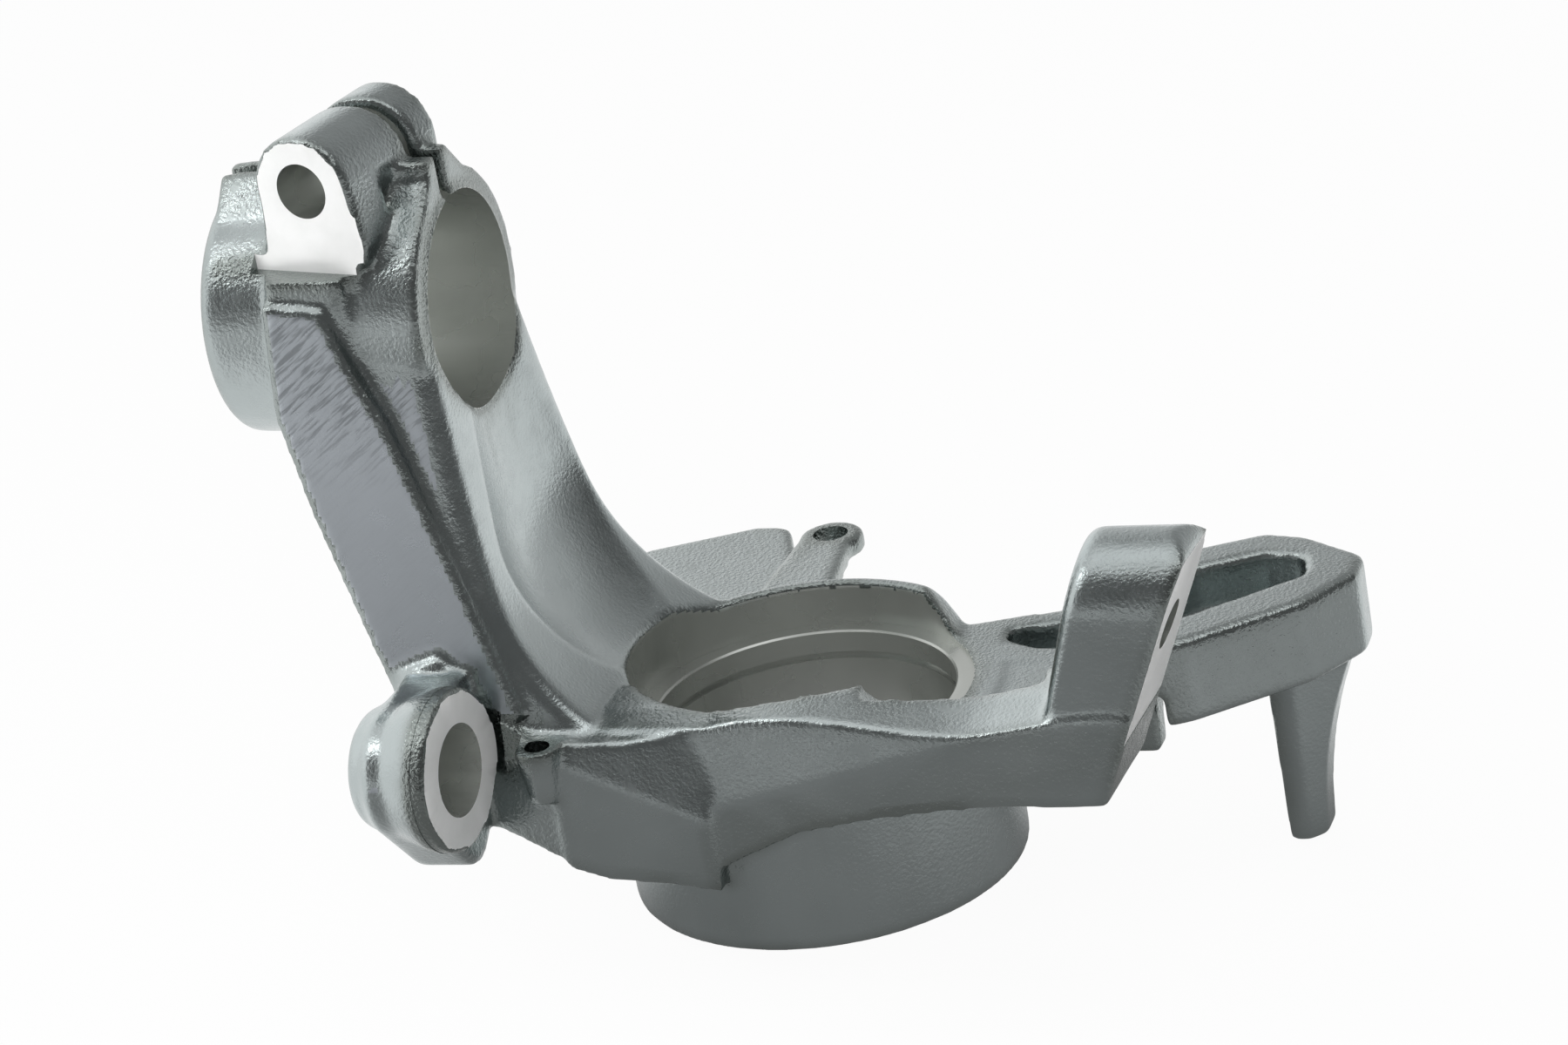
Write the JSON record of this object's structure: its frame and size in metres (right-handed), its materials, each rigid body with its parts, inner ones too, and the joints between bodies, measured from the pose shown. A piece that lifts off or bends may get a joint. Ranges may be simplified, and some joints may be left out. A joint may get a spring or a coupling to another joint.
{
  "type": "steering knuckle",
  "caption": "Cast iron steering knuckle for a strut suspension: bearing housing, slotted strut clamp on a raised arm, steering arm, ball joint lug and caliper carrier arms",
  "frame": {"origin": "on the hub axis, at the boss's flat outer end face", "axes": "+Z along the hub axis from the boss's end face through the bearing bore to the rim; -X towards the strut clamp; -Y towards the tie rod boss"},
  "size_m": [0.2432, 0.191, 0.222],
  "materials": {
    "cast_iron": "satin"
  },
  "bodies": {
    "root": {"knuckle": "cast_iron"}
  },
  "joints": []
}
